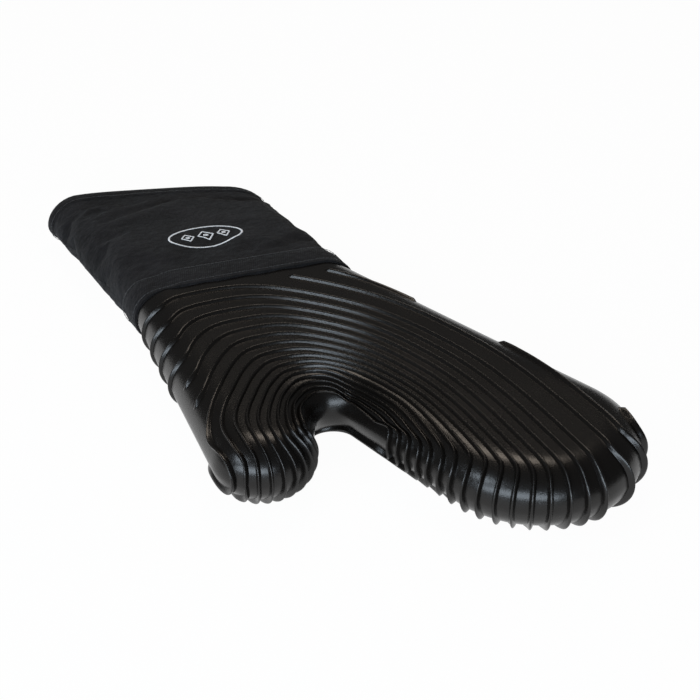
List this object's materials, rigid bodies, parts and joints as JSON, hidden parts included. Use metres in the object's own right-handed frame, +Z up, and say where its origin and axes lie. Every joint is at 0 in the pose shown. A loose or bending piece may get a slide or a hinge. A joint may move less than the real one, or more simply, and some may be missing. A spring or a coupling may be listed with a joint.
{
  "type": "oven mitt",
  "caption": "Long oven mitt: ribbed one-piece silicone hand with a separate thumb on a padded fabric cuff, cotton lined, lying palm down with its mouth open.",
  "frame": {"origin": "under the middle of the mitt's box, on the surface it lies on", "axes": "+X from the cuff's mouth towards the fingertips, +Y towards the little-finger edge (the thumb is on the -Y side), +Z up from the palm face to the back"},
  "size_m": [0.3721, 0.1728, 0.033],
  "materials": {
    "silicone": "satin",
    "twill": "matt",
    "lining": "matt",
    "wadding": "matt"
  },
  "bodies": {
    "root": {"silicone_shell": "silicone", "back_wadding": "wadding", "palm_wadding": "wadding", "back_lining": "lining", "palm_lining": "lining", "cuff_back_panel": "twill", "cuff_palm_panel": "twill", "cuff_back_wadding": "wadding", "cuff_palm_wadding": "wadding", "cuff_back_lining": "lining", "cuff_palm_lining": "lining", "hem_band": "twill", "mouth_binding": "twill"}
  },
  "joints": []
}
